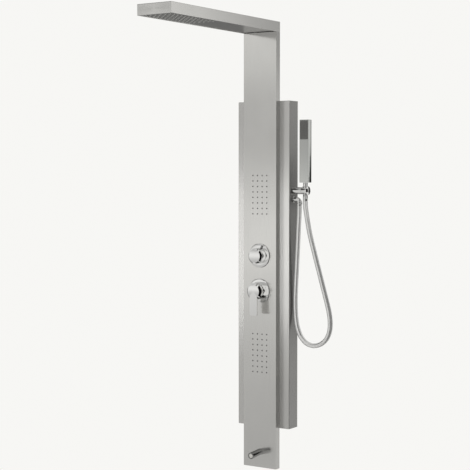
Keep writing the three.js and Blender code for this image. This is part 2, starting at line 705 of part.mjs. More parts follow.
piece(
  'hose_outlet_nut',
  hoseNut(OUTLET.x, OUTLET.height - OUTLET.drop, hoseStart, HOSE_NUT.outlet),
  chrome,
);
piece(
  'shower_hose',
  tube(
    HOSE_ROUTE.map(([x, z]) => [x, HOLDER.depth, z]),
    { outer: HOSE_RADIUS, steps: 40, sides: 10 },
  ),
  hoseSilver,
);

// ---------------------------------------------------------------- hand shower
const HAND_FRONT = HOLDER.depth - HAND.depth / 2;
const HAND_REAR = HOLDER.depth + HAND.depth / 2;
const NECK = {
  bottom: 864.2,
  rest: HOLDER.height + HOLDER.radius + GAP,
  radius: 7.3,
  bore: 4.5,
  collar: 8.9,
  collarHeight: 2.2,
};

function handBody() {
  const { x, width, bottom, top } = HAND;
  const field = HAND_FIELD.width / 2;
  const { bottom: fieldBottom, top: fieldTop } = HAND_FIELD;
  return cut(block([x - width / 2, x + width / 2], [HAND_FRONT, HAND_REAR], [bottom, top]), [
    block([x - field, x + field], [HAND_FRONT - CUT, HAND_FRONT + 2.4], [fieldBottom, fieldTop]),
    block([x - 11, x + 11], [HAND_FRONT, HAND_REAR - 3], [fieldBottom + 3, fieldTop - 3]),
    bar([x, HOLDER.depth, bottom - CUT], [x, HOLDER.depth, fieldBottom + 8], 5),
  ]);
}

function handMat() {
  const field = HAND_FIELD.width / 2 - GAP;
  const sheet = block(
    [HAND.x - field, HAND.x + field],
    [HAND_FRONT, HAND_FRONT + 2.1],
    [HAND_FIELD.bottom + GAP, HAND_FIELD.top - GAP],
  );
  const middle = (HAND_FIELD.bottom + HAND_FIELD.top) / 2;
  const { columns, rows, pitch } = HAND_FIELD;
  const places = grid(spaced(columns, pitch, HAND.x), spaced(rows, pitch, middle));
  const nipple = ([x, z]) =>
    bar([x, HAND_FRONT + 1, z], [x, HAND_FRONT - 0.8, z], 1.2, 0.9, NOZZLE_SIDES);
  return join(sheet, ...places.map(nipple));
}

function handNeck() {
  const { bottom, rest, radius, bore, collar, collarHeight } = NECK;
  const top = HAND.bottom - GAP;
  return turnedUp([
    [bore, bottom], [radius, bottom], [radius, rest], [collar, rest],
    [collar, rest + collarHeight], [radius - GAP, rest + collarHeight], [radius - GAP, top],
    [bore, top],
  ]).translate(HAND.x, HOLDER.depth, 0);
}

piece('hand_shower_body', handBody(), chrome);
piece('hand_shower_nozzle_mat', handMat(), darkSilicone);
piece('hand_shower_neck', handNeck(), chrome);
piece('hose_cone_nut', hoseNut(HAND.x, NECK.bottom, hoseEnd, HOSE_NUT.cone), chrome);

export default column;
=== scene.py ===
"""Rainfall shower column: the visible model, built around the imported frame.

Metres, +Z up, +Y into the wall, origin in the middle of the upper bracket's wall face. Each visible
piece is rebuilt as a fine mesh where its CAD node is, or it keeps the CAD node with a bevel and a
material. Outlines are given as [radius, height] or [across, up] pairs in metres.
"""

import json
import math

import bmesh
import bpy
from mathutils import Matrix, Vector


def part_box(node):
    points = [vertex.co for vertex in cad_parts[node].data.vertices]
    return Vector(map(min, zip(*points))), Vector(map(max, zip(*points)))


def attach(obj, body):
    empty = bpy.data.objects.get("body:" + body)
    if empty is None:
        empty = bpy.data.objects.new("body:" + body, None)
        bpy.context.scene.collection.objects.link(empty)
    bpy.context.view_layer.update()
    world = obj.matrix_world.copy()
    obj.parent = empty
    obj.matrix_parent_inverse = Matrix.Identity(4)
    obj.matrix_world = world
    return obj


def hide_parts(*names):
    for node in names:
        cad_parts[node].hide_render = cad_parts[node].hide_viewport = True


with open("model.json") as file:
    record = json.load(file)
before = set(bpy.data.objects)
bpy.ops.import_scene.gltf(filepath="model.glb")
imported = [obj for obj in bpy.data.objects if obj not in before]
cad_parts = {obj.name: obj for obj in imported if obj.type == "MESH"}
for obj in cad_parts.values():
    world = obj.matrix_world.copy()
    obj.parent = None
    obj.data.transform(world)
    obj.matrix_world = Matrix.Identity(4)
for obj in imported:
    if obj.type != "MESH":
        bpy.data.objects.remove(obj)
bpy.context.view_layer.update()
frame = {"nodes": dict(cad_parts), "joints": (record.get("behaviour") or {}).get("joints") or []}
scene = bpy.context.scene

# ------------------------------------------------------------------ places and sizes from the frame
PANEL_LOW, PANEL_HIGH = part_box("front_panel")
HOUSING_LOW, HOUSING_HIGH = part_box("rear_housing")
HEAD_LOW, HEAD_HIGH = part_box("head_shell")
PLATE_LOW, PLATE_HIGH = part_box("head_spray_plate")
JOINT_AT = {joint["name"]: Vector(joint["pos_m"]) for joint in frame["joints"] if "pos_m" in joint}

BOTTOM = PANEL_LOW.z
FACE = PANEL_LOW.y
SHEET = 0.0015  # thickness of the steel sheet
GAP = 0.0003  # room between pieces that would otherwise touch
FOLD = 0.0018  # outside radius of a fold in the sheet
RIM = 0.0003  # rounding of a cut edge
NEAR = 1e-5  # places closer than this are one place
SPOUT_RISE = 0.0495  # from the column's lower end to the middle of the spout

DIVERTER_AT = Vector((0, FACE, JOINT_AT["diverter_turn"].z))
MIXER_AT = Vector((0, FACE, JOINT_AT["mixer_temperature"].z))
SPOUT_AT = Vector((0, FACE, BOTTOM + SPOUT_RISE))


def centre_of(node):
    low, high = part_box(node)
    return (low + high) / 2


# ------------------------------------------------------------------ camera
CAMERA = {  # millimetres, metres and degrees
    "sensor": 36,
    "lens": 98.24,
    "shift": -0.0202,
    "at": (2.1787, -3.4554, -0.1642),
    "down": 2.56,
    "turn": 33.46,
}


def make_camera():
    """The photograph's viewpoint, solved from the column's straight edges."""
    data = bpy.data.cameras.new("camera")
    data.sensor_width = CAMERA["sensor"]
    data.lens = CAMERA["lens"]
    data.shift_x = CAMERA["shift"]
    data.clip_start = 0.05
    camera = bpy.data.objects.new("camera", data)
    camera.location = CAMERA["at"]
    camera.rotation_euler = (math.radians(90 - CAMERA["down"]), 0, math.radians(CAMERA["turn"]))
    scene.collection.objects.link(camera)
    scene.camera = camera


make_camera()


# ------------------------------------------------------------------ node trees
class Tree:
    """A node tree that is built by calls. add returns a node, the other calls return an output."""

    def __init__(self, owner):
        owner.use_nodes = True
        self.nodes = owner.node_tree.nodes
        self.links = owner.node_tree.links
        self.nodes.clear()

    def add(self, kind, inputs=(), **settings):
        node = self.nodes.new(kind)
        for name, value in settings.items():
            setattr(node, name, value)
        for name, value in dict(inputs).items():
            if isinstance(value, bpy.types.NodeSocket):
                self.links.new(value, node.inputs[name])
            else:
                node.inputs[name].default_value = value
        return node

    def math(self, operation, a, b=0.0):
        return self.add("ShaderNodeMath", {0: a, 1: b}, operation=operation).outputs[0]

    def position(self):
        return self.add("ShaderNodeTexCoord").outputs["Object"]

    def noise(self, vector, scale, detail=2.0, stretch=(1, 1, 1)):
        mapped = self.add("ShaderNodeMapping", {"Vector": vector, "Scale": stretch})
        inputs = {"Vector": mapped.outputs[0], "Scale": scale, "Detail": detail}
        return self.add("ShaderNodeTexNoise", inputs).outputs["Fac"]

    def spread(self, value, low, high):
        """value, which runs from about 0.3 to 0.7 as noise does, drawn out from low to high."""
        inputs = {"Value": value, "From Min": 0.3, "From Max": 0.7, "To Min": low, "To Max": high}
        return self.add("ShaderNodeMapRange", inputs).outputs[0]

    def between(self, value, colour_a, colour_b):
        ends = [c if isinstance(c, bpy.types.NodeSocket) else (*c, 1) for c in (colour_a, colour_b)]
        inputs = {0: value, 6: ends[0], 7: ends[1]}
        return self.add("ShaderNodeMix", inputs, data_type="RGBA").outputs[2]

    def bump(self, height, strength, distance):
        inputs = {"Height": height, "Strength": strength, "Distance": distance}
        return self.add("ShaderNodeBump", inputs).outputs[0]

    def surface(self, inputs):
        shader = self.add("ShaderNodeBsdfPrincipled", inputs)
        self.add("ShaderNodeOutputMaterial", {"Surface": shader.outputs[0]})


def shade(colour, factor):
    return tuple(channel * factor for channel in colour)


def blank(name):
    """A new material, its node tree, and the position on the piece."""
    material = bpy.data.materials.new(name)
    tree = Tree(material)
    return material, tree, tree.position()


# ------------------------------------------------------------------ materials
LONG, SHORT = 0.02, 1.0  # scales of the noise along a brush stroke and across it
GRAIN = {
    "X": (LONG, SHORT, SHORT),
    "Y": (SHORT, LONG, SHORT),
    "Z": (SHORT, SHORT, LONG),
}


def brushed(name, colour, roughness, along, anisotropy=0.6, relief=0.12, metallic=1.0, returns=1.0):
    """Steel with fine strokes along one axis, which spread a highlight across themselves.

    returns is the share of its colour that the sheet keeps on its left and right returns, next to its
    face: painted shade on those sides.
    """
    material, tree, position = blank(name)
    strokes = tree.noise(position, scale=900, detail=3, stretch=GRAIN[along])
    clouds = tree.noise(position, scale=9)
    tint = tree.between(strokes, shade(colour, 0.94), shade(colour, 1.05))
    # Painted shade: the colour is darkened where the face points left or right.
    if returns < 1:
        normal = tree.add("ShaderNodeNewGeometry").outputs["Normal"]
        sideways = tree.add("ShaderNodeSeparateXYZ", {0: normal}).outputs[0]
        facing = {"Value": tree.math("ABSOLUTE", sideways), "From Min": 0.5, "From Max": 0.9}
        side_shade_mask = tree.add("ShaderNodeMapRange", facing).outputs[0]
        tint = tree.between(side_shade_mask, tint, shade(colour, returns))
    tangent = tree.add("ShaderNodeTangent", direction_type="RADIAL", axis=along)
    tree.surface(
        {
            "Base Color": tint,
            "Metallic": metallic,
            "Roughness": tree.spread(clouds, roughness - 0.02, roughness + 0.02),
            "Anisotropic": anisotropy,
            "Tangent": tangent.outputs[0],
            "Normal": tree.bump(strokes, relief, distance=0.00003),
        }
    )
    return material


def polished(name, colour, roughness):
    """Chrome plate with the faint unevenness that wiping leaves."""
    material, tree, position = blank(name)
    smears = tree.noise(position, scale=45, detail=4, stretch=(1, 1, 0.35))
    tree.surface(
        {
            "Base Color": tree.between(smears, shade(colour, 0.98), colour),
            "Metallic": 1.0,
            "Roughness": tree.spread(smears, 0.8 * roughness, 1.35 * roughness),
        }
    )
    return material


def machined(name, colour, roughness):
    """Bare turned or cast metal: fine tool lines under a mottled, slightly dulled surface."""
    material, tree, position = blank(name)
    mottle = tree.noise(position, scale=60, detail=4)
    lines = tree.noise(position, scale=700, stretch=(0.1, 1, 0.1))
    tree.surface(
        {
            "Base Color": tree.between(mottle, shade(colour, 0.75), shade(colour, 1.1)),
            "Metallic": 1.0,
            "Roughness": tree.spread(mottle, roughness - 0.08, roughness + 0.08),
            "Normal": tree.bump(lines, strength=0.2, distance=0.00005),
        }
    )
    return material


def moulded(name, colour, roughness, grain):
    """Plastic or silicone with a fine eroded texture."""
    material, tree, position = blank(name)
    pits = tree.noise(position, grain, detail=3)
    clouds = tree.noise(position, scale=25)
    tree.surface(
        {
            "Base Color": tree.between(clouds, shade(colour, 0.9), shade(colour, 1.06)),
            "Roughness": tree.spread(pits, roughness - 0.06, roughness + 0.06),
            "Specular IOR Level": 0.4,
            "Normal": tree.bump(pits, strength=0.25, distance=0.00006),
        }
    )
    return material


def hose_finish():
    """Silver hose: a bright metallised layer under a clear skin."""
    material, tree, position = blank("hose_silver")
    scuffs = tree.noise(position, scale=220, detail=3)
    tree.surface(
        {
            "Base Color": tree.between(scuffs, (0.78, 0.78, 0.775), (0.88, 0.88, 0.875)),
            "Metallic": 0.65,
            "Roughness": tree.spread(scuffs, 0.14, 0.2),
            "Coat Weight": 0.3,
            "Coat Roughness": 0.12,
        }
    )
    return material


STEEL = (0.66, 0.655, 0.64)
CHROME = (0.74, 0.74, 0.735)
MATERIALS = {
    # The column's and the housing's returns are painted darker, and the housing's steel is painted a
    # little darker all over: painted shade.
    "column": brushed("column_steel", STEEL, 0.17, "Z", returns=0.8),
    "housing": brushed("housing_steel", shade(STEEL, 0.88), 0.2, "Z", metallic=0.7, returns=0.5),
    "head": brushed("head_steel", STEEL, 0.2, "Y"),
    # The spray plate is the head's steel painted about half as dark: painted shade under the head.
    "plate": brushed("plate_steel", shade(STEEL, 0.54), 0.3, "Y", anisotropy=0.3),
    "inner": machined("inner_steel", (0.55, 0.55, 0.54), 0.42),
    "chrome": polished("chrome", CHROME, 0.055),
    # Chrome painted to three tenths of its colour, for the spout and the pointer fin: painted shade.
    "chrome_painted_dark": polished("chrome_painted_dark", shade(CHROME, 0.3), 0.06),
    "satin": brushed("hand_shower_chrome", (0.58, 0.59, 0.575), 0.09, "Z", anisotropy=0.4, relief=0.05),
    "brass": machined("brass", (0.62, 0.46, 0.22), 0.38),
    "hose": hose_finish(),
    "grey": moulded("grey_silicone", (0.40, 0.40, 0.39), 0.5, 1500),
    "dark": moulded("dark_silicone", (0.15, 0.15, 0.145), 0.5, 1500),
    "plastic": moulded("white_plastic", (0.78, 0.77, 0.74), 0.45, 1200),
}


# ------------------------------------------------------------------ outlines
def arc(centre, radius, start, end, steps):
    """Points round centre from one angle to another, in degrees."""
    turns = (math.radians(start + (end - start) * i / steps) for i in range(steps + 1))
    return [(centre[0] + radius * math.cos(t), centre[1] + radius * math.sin(t)) for t in turns]


def eased(points, radius, steps=4, closed=False):
    """The outline with round corners. An open one keeps its two ends, and radius may be a list."""
    straight = math.radians(178)
    radii = radius if isinstance(radius, (list, tuple)) else [radius] * len(points)
    count = len(points)
    result = []
    for i, point in enumerate(points):
        inner = closed or 0 < i < count - 1
        if not inner or radii[i] <= 0:
            result.append(tuple(point))
            continue
        here = Vector(point)
        back = Vector(points[i - 1]) - here
        ahead = Vector(points[(i + 1) % count]) - here
        opening = back.angle(ahead)
        if opening > straight:
            result.append(tuple(point))
            continue
        reach = radii[i] / math.tan(opening / 2)
        reach = min(reach, 0.49 * back.length, 0.49 * ahead.length)
        start = here + back.normalized() * reach
        end = here + ahead.normalized() * reach
        for k in range(steps + 1):
            t = k / steps
            result.append(tuple(start * (1 - t) ** 2 + here * 2 * t * (1 - t) + end * t**2))
    return result


def rounded_box(width, height, radius, steps=6):
    """A closed rectangle about the origin with round corners."""
    x, y = width / 2 - radius, height / 2 - radius
    corners = [((x, y), 0), ((-x, y), 90), ((-x, -y), 180), ((x, -y), 270)]
    return [p for centre, a in corners for p in arc(centre, radius, a, a + 90, steps)]


# ------------------------------------------------------------------ meshes
def lathe(profile, sides=64):
    """A solid turned about +Z. The profile starts and ends on the axis, or is a closed loop."""
    mesh = bmesh.new()
    rings = []
    for radius, height in profile:
        if radius < 1e-7:  # a point on the axis
            rings.append([mesh.verts.new((0, 0, height))])
            continue
        turns = [2 * math.pi * i / sides for i in range(sides)]
        ring = [(radius * math.cos(t), radius * math.sin(t), height) for t in turns]
        rings.append([mesh.verts.new(place) for place in ring])
    pairs = list(zip(rings, rings[1:]))
    if len(rings[0]) > 1:
        pairs.append((rings[-1], rings[0]))
    for a, b in pairs:
        for i in range(sides):
            j = (i + 1) % sides
            corners = [a[i % len(a)], a[j % len(a)], b[j % len(b)], b[i % len(b)]]
            unique = [v for k, v in enumerate(corners) if v not in corners[:k]]
            if len(unique) > 2:
                mesh.faces.new(unique)
    bmesh.ops.recalc_face_normals(mesh, faces=mesh.faces)
    return mesh


def prism(outline, low, high):
    """A closed outline drawn up from one height to another."""
    mesh = bmesh.new()
    rings = [[mesh.verts.new((x, y, z)) for x, y in outline] for z in (low, high)]
    count = len(outline)
    mesh.faces.new(list(reversed(rings[0])))
    mesh.faces.new(rings[1])
    for i in range(count):
        j = (i + 1) % count
        mesh.faces.new([rings[0][i], rings[0][j], rings[1][j], rings[1][i]])
    bmesh.ops.recalc_face_normals(mesh, faces=mesh.faces)
    return mesh


def block(low, high):
    outline = [(low[0], low[1]), (high[0], low[1]), (high[0], high[1]), (low[0], high[1])]
    return prism(outline, low[2], high[2])


def scored(mesh, axis, places):
    """The mesh with its faces divided across one axis, so that each hole gets a face to itself."""
    normal = [1.0 if i == axis else 0.0 for i in range(3)]
    for place in places:
        point = [n * place for n in normal]
        parts = mesh.verts[:] + mesh.edges[:] + mesh.faces[:]
        bmesh.ops.bisect_plane(mesh, geom=parts, plane_co=point, plane_no=normal)
    return mesh


def moved(mesh, matrix):
    bmesh.ops.transform(mesh, matrix=matrix, verts=mesh.verts)
    return mesh


def gathered(meshes):
    """Several meshes as one."""
    whole = bmesh.new()
    for mesh in meshes:
        data = bpy.data.meshes.new("part")
        mesh.to_mesh(data)
        mesh.free()
        whole.from_mesh(data)
        bpy.data.meshes.remove(data)
    return whole


def stamped(mesh, places):
    """Copies of a mesh at several places."""
    data = bpy.data.meshes.new("part")
    mesh.to_mesh(data)
    mesh.free()
    whole = bmesh.new()
    for place in places:
        start = len(whole.verts)
        whole.from_mesh(data)
        whole.verts.ensure_lookup_table()
        bmesh.ops.translate(whole, vec=place, verts=whole.verts[start:])
    bpy.data.meshes.remove(data)
    return whole


def tube_rings(points, radii, sides):
    """A closed tube whose rings stand across the path, without twist."""
    mesh = bmesh.new()
    rings = []
    across = None
    for i, point in enumerate(points):
        along = (points[min(i + 1, len(points) - 1)] - points[max(i - 1, 0)]).normalized()
        if across is None:
            across = along.orthogonal().normalized()
        across = (across - along * across.dot(along)).normalized()
        up = along.cross(across)
        ring = []
        for k in range(sides):
            t = 2 * math.pi * k / sides
            out = across * math.cos(t) + up * math.sin(t)
            ring.append(mesh.verts.new(point + out * radii[i]))
        rings.append(ring)
    for a, b in zip(rings, rings[1:]):
        for k in range(sides):
            j = (k + 1) % sides
            mesh.faces.new([a[k], a[j], b[j], b[k]])
    mesh.faces.new(list(reversed(rings[0])))
    mesh.faces.new(rings[-1])
    bmesh.ops.recalc_face_normals(mesh, faces=mesh.faces)
    return mesh


def added(name, mesh):
    data = bpy.data.meshes.new(name)
    mesh.to_mesh(data)
    mesh.free()
    obj = bpy.data.objects.new(name, data)
    scene.collection.objects.link(obj)
    return obj


def carved(name, mesh, tool_mesh, operation="DIFFERENCE"):
    """The mesh less the tool, or joined with it, as a new object."""
    obj = added(name, mesh)
    tool = added("tool", tool_mesh)
    cut = obj.modifiers.new("cut", "BOOLEAN")
    cut.operation = operation
    cut.solver = "EXACT"
    cut.use_self = True
    cut.object = tool
    solved = obj.evaluated_get(bpy.context.evaluated_depsgraph_get())
    result = bpy.data.meshes.new_from_object(solved)
    obj.modifiers.clear()
    obj.data = result
    bpy.data.objects.remove(tool)
    return obj


def bevelled(obj, width, segments=3, angle=30):
    bevel = obj.modifiers.new("bevel", "BEVEL")
    bevel.width = width
    bevel.segments = segments
    bevel.limit_method = "ANGLE"
    bevel.angle_limit = math.radians(angle)
    bevel.harden_normals = True
    return obj


def bevelled_by(obj, width, weight_of, segments=5):
    """Bevels each sharp edge by its own share of width, which weight_of gives from its two ends."""
    mesh = bmesh.new()
    mesh.from_mesh(obj.data)
    layer = mesh.edges.layers.float.new("bevel_weight_edge")
    for edge in mesh.edges:
        if len(edge.link_faces) == 2 and edge.calc_face_angle(0) > math.radians(30):
            edge[layer] = weight_of(*(v.co for v in edge.verts))
    mesh.to_mesh(obj.data)
    mesh.free()
    bevel = obj.modifiers.new("bevel", "BEVEL")
    bevel.width = width
    bevel.segments = segments
    bevel.limit_method = "WEIGHT"
    bevel.harden_normals = True
    return obj


def fold_weight(*planes):
    """Weights for bevelled_by. An edge where two of the planes meet is a fold, any other is cut.

    A plane is its axis and the one or two places where it stands.
    """

    def within(point, axis, places):
        return min(abs(point[axis] - place) for place in places) < NEAR

    def weight(*ends):
        met = sum(all(within(p, axis, places) for p in ends) for axis, *places in planes)
        return 1.0 if met > 1 else RIM / FOLD

    return weight


def finished(obj, material, body="root", replaces=(), sharp=35):
    """Shades the piece, gives it its material, and lets it ride on its body."""
    obj.data.materials.clear()
    obj.data.materials.append(MATERIALS[material])
    obj.data.shade_smooth()
    obj.data.set_sharp_from_angle(angle=math.radians(sharp))
    if replaces:
        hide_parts(*replaces)
    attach(obj, body)
    return obj


def piece(name, mesh, material, body="root", replaces=(), bevel=0.0, sharp=35):
    obj = added(name, mesh)
    if bevel:
        bevelled(obj, bevel)
    return finished(obj, material, body, replaces, sharp)


OUTWARD = Matrix.Rotation(math.radians(90), 4, "X")  # +Z turned to point out of the face, to -Y
SIDEWAYS = Matrix.Rotation(math.radians(90), 4, "Y")  # +Z turned to point to +X
TIPPED = Matrix.Rotation(math.radians(-90), 4, "X")  # -Z turned to point out of the face


def facing_out(mesh, place):
    return moved(mesh, Matrix.Translation(place) @ OUTWARD)


def facing_side(mesh, place):
    return moved(mesh, Matrix.Translation(place) @ SIDEWAYS)


# ------------------------------------------------------------------ hose
HOSE_Y = -0.029
HOSE_ROUTE = [  # [sideways, height over the column's lower end]
    [0.119, 0.828], [0.1184, 0.8], [0.1162, 0.765], [0.1135, 0.708], [0.1102, 0.646],
    [0.1067, 0.584], [0.1049, 0.525], [0.107, 0.48], [0.1134, 0.446], [0.1265, 0.418],
    [0.1465, 0.4], [0.17, 0.394], [0.1945, 0.3995], [0.215, 0.415], [0.2275, 0.439],
    [0.2305, 0.468], [0.227, 0.498], [0.2195, 0.528], [0.2105, 0.558], [0.1928, 0.618],
    [0.1748, 0.679], [0.1575, 0.74], [0.1476, 0.788], [0.1424, 0.817], [0.1409, 0.832],
    [0.1408, 0.8425],
]
HOSE = {"radius": 0.0075, "winding": 0.0028, "groove": 0.00028, "sides": 24}
GROOVE = (1, 0.15, 0, 0.15)  # depth of the groove at each ring of a winding


def smooth_path(points, step):
    """A centripetal Catmull-Rom curve through the points, in even steps."""
    before, after = points[0] * 2 - points[1], points[-1] * 2 - points[-2]
    run = [before, *points, after]
    pieces = 40
    dense = []
    for p0, p1, p2, p3 in zip(run, run[1:], run[2:], run[3:]):
        t1 = (p1 - p0).length ** 0.5
        t2 = t1 + (p2 - p1).length ** 0.5
        t3 = t2 + (p3 - p2).length ** 0.5
        for i in range(pieces):
            t = t1 + (t2 - t1) * i / pieces
            a1 = p0 * ((t1 - t) / t1) + p1 * (t / t1)
            a2 = p1 * ((t2 - t) / (t2 - t1)) + p2 * ((t - t1) / (t2 - t1))
            a3 = p2 * ((t3 - t) / (t3 - t2)) + p3 * ((t - t2) / (t3 - t2))
            b1 = a1 * ((t2 - t) / t2) + a2 * (t / t2)
            b2 = a2 * ((t3 - t) / (t3 - t1)) + a3 * ((t - t1) / (t3 - t1))
            dense.append(b1 * ((t2 - t) / (t2 - t1)) + b2 * ((t - t1) / (t2 - t1)))
    dense.append(points[-1])
    total = sum((b - a).length for a, b in zip(dense, dense[1:]))
    count = round(total / step)
    even, walked, i = [dense[0]], 0.0, 0
    for k in range(1, count):
        target = total * k / count
        while walked + (dense[i + 1] - dense[i]).length < target:
            walked += (dense[i + 1] - dense[i]).length
            i += 1
        share = (target - walked) / (dense[i + 1] - dense[i]).length
        even.append(dense[i].lerp(dense[i + 1], share))
    even.append(dense[-1])
    return even, total


def make_hose():
    route = [Vector((x, HOSE_Y, BOTTOM + z)) for x, z in HOSE_ROUTE]
    rings = len(GROOVE)
    centres, length = smooth_path(route, HOSE["winding"] / rings)
    depths = [HOSE["groove"] * GROOVE[i % rings] for i in range(len(centres))]
    hose = added("hose", tube_rings(centres, [HOSE["radius"] - d for d in depths], HOSE["sides"]))
    finished(hose, "hose", "root", ["shower_hose"], sharp=60)


def knurled(radius_a, radius_b, length, ridges=24, depth=0.00025):
    """A tapering round nut with shallow flats for the fingers, standing on z = 0."""
    mesh = bmesh.new()
    steps = 4 * ridges
    ease = 0.0005
    sections = [
        (0, radius_a - ease), (ease, radius_a), (length - ease, radius_b), (length, radius_b - ease),
    ]
    rings = []
    for height, radius in sections:
        ring = []
        for i in range(steps):
            t = 2 * math.pi * i / steps
            r = radius - depth * (1 - math.cos(ridges * t)) / 2
            ring.append(mesh.verts.new((r * math.cos(t), r * math.sin(t), height)))
        rings.append(ring)
    for a, b in zip(rings, rings[1:]):
        for i in range(steps):
            j = (i + 1) % steps
            mesh.faces.new([a[i], a[j], b[j], b[i]])
    mesh.faces.new(list(reversed(rings[0])))
    mesh.faces.new(rings[-1])
    return mesh


def make_hose_nuts():
    for name, node, body, taper in (
        ("outlet_nut", "hose_outlet_nut", "root", (0.92, 1)),
        ("cone_nut", "hose_cone_nut", "hand_shower", (1, 0.95)),
    ):
        low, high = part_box(node)
        middle = centre_of(node)
        wide = (high.x - low.x) / 2
        mesh = knurled(taper[0] * wide, taper[1] * wide, high.z - low.z)
        moved(mesh, Matrix.Translation((middle.x, middle.y, low.z)))
        piece(name, mesh, "chrome", body, [node], sharp=50)


# ------------------------------------------------------------------ column and housing
JET = {"columns": 4, "rows": 8, "margin": 0.012, "hole": 0.0022}
JET_TIP = {"radius": 0.0017, "stand": 0.0006, "root": 0.002, "bore": 0.0005}
RAIN = {"columns": 6, "rows": 13, "pitch": 0.0172, "front": 0.0185, "hole": 0.0033}
RAIN_TIP = {"base": 0.0027, "tip": 0.0019, "height": 0.003, "bore": 0.0007}
FACE_HOLES = {"diverter": 0.0108, "mixer": 0.0183, "spout": 0.0063}  # radii
SIDE_HOLES = {"holder_bar": 0.0054, "outlet_elbow_nut": 0.0064}  # radii, by the node that passes
WINDOW = {"half": 0.048, "foot": 0.023, "top": 0.025}  # the opening behind the column
OVER = 0.01  # how far a cutter stands out of the sheet that it cuts
FACE_REACH, PLATE_REACH = 0.006, 0.004  # half the length of a cutting bar


def spaced(count, pitch, middle=0.0):
    return [middle + (i - (count - 1) / 2) * pitch for i in range(count)]


def jet_places(node):
    """The middle of each jet, from the mat that carries them."""
    low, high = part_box(node)
    pitch = (high.z - low.z - 2 * JET["margin"]) / (JET["rows"] - 1)
    middle = (low.z + high.z) / 2
    rows = spaced(JET["rows"], pitch, middle)
    return [Vector((x, FACE, z)) for z in rows for x in spaced(JET["columns"], pitch)]


def rain_places():
    """The middle of each nozzle of the rain head, in the plane of its plate's underside."""
    first = HEAD_LOW.y + RAIN["front"]
    rows = [first + i * RAIN["pitch"] for i in range(RAIN["rows"])]
    columns = spaced(RAIN["columns"], RAIN["pitch"])
    return [Vector((x, y, PLATE_LOW.z)) for y in rows for x in columns]


def bar(radius, half, sides):
    """A round bar along Z, from -half to half."""
    return prism(arc((0, 0), radius, 0, 360 * (1 - 1 / sides), sides - 1), -half, half)


def make_front_panel():
    low, high = PANEL_LOW, PANEL_HIGH
    jets = jet_places("upper_jet_nozzle_mat") + jet_places("lower_jet_nozzle_mat")
    pitch = jets[1].x - jets[0].x
    shell = scored(block(low, high), 0, spaced(JET["columns"] - 1, pitch))
    rows = sorted({round(place.z, 5) for place in jets})
    shell = scored(shell, 2, [z + pitch / 2 for z in rows] + [rows[0] - pitch / 2])
    hollow = block(
        (low.x + SHEET, low.y + SHEET, low.z + SHEET),
        (high.x - SHEET, high.y + OVER, high.z + OVER),
    )
    places = {"diverter": DIVERTER_AT, "mixer": MIXER_AT, "spout": SPOUT_AT}
    cutters = [facing_out(bar(FACE_HOLES[n], FACE_REACH, 32), place) for n, place in places.items()]
    cutters += [facing_out(bar(JET["hole"], FACE_REACH, 20), place) for place in jets]
    panel = carved("column_front", shell, gathered([hollow, *cutters]))
    bevelled_by(panel, FOLD, fold_weight((0, low.x, high.x), (1, low.y), (2, low.z)))
    finished(panel, "column", replaces=["front_panel"])


def make_housing():
    low, high = HOUSING_LOW, HOUSING_HIGH
    between_holes = [BOTTOM + 0.5, BOTTOM + 0.86]
    shell = scored(scored(block(low, high), 0, [0]), 2, between_holes)
    hollow = block(
        (low.x + SHEET, low.y + SHEET, low.z + SHEET),
        (high.x - SHEET, high.y + OVER, high.z - SHEET),
    )
    window = block(
        (-WINDOW["half"], low.y - OVER, low.z + WINDOW["foot"]),
        (WINDOW["half"], low.y + OVER, high.z - WINDOW["top"]),
    )
    holes = [
        facing_side(bar(radius, OVER, 36), (high.x, HOSE_Y, centre_of(node).z))
        for node, radius in SIDE_HOLES.items()
    ]
    housing = carved("housing", shell, gathered([hollow, window, *holes]))
    bevelled_by(housing, FOLD, fold_weight((0, low.x, high.x), (1, low.y), (2, low.z, high.z)))
    finished(housing, "housing", replaces=["rear_housing"])


# ------------------------------------------------------------------ rain head
def make_head():
    low, high = HEAD_LOW, HEAD_HIGH
    shell = scored(scored(block(low, high), 0, [0]), 1, [(low.y + high.y) / 2])
    hollow = block(
        (low.x + SHEET, low.y + SHEET, low.z - OVER),
        (high.x - SHEET, high.y - SHEET, high.z - SHEET),
    )
    head = carved("head", shell, hollow)
    bevelled_by(head, FOLD, fold_weight((0, low.x, high.x), (1, low.y), (2, high.z)))
    finished(head, "head", replaces=["head_shell"])


def nozzle(base, tip, height, bore):
    """A soft nozzle that hangs from z = 0: a tapering tube with a round lip and a short bore."""
    end, root = -height + 0.8 * bore, 0.0004
    profile = [
        (0, end), (bore, end), (bore, -height), (tip, -height),
        (0.5 * (base + tip), -0.45 * height), (base, root), (0, root),
    ]
    return lathe(eased(profile, [0, 0, 0.0002, 0.0004, 0.001, 0, 0], 3), sides=16)


def make_rain_field():
    places = rain_places()
    drills = [moved(bar(RAIN["hole"], PLATE_REACH, 20), Matrix.Translation(p)) for p in places]
    half = RAIN["pitch"] / 2
    rows = sorted({place.y for place in places})
    columns = sorted({place.x for place in places})
    sheet = block(PLATE_LOW, PLATE_HIGH)
    sheet = scored(sheet, 0, [x + half for x in columns] + [columns[0] - half])
    sheet = scored(sheet, 1, [y + half for y in rows] + [rows[0] - half])
    plate = carved("spray_plate", sheet, gathered(drills))
    bevelled(plate, RIM, 2)
    finished(plate, "plate", replaces=["head_spray_plate"])
    mat_low, mat_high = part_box("head_nozzle_mat")
    sheet = block((mat_low.x, mat_low.y, PLATE_HIGH.z + GAP), mat_high)
    nozzles = stamped(nozzle(**RAIN_TIP), places)
    base, height = RAIN_TIP["base"], RAIN_TIP["height"]
    stems = stamped(lathe([(0, 0), (base, 0), (base, height), (0, height)], sides=16), places)
    piece("rain_nozzles", gathered([sheet, nozzles, stems]), "grey", replaces=["head_nozzle_mat"])


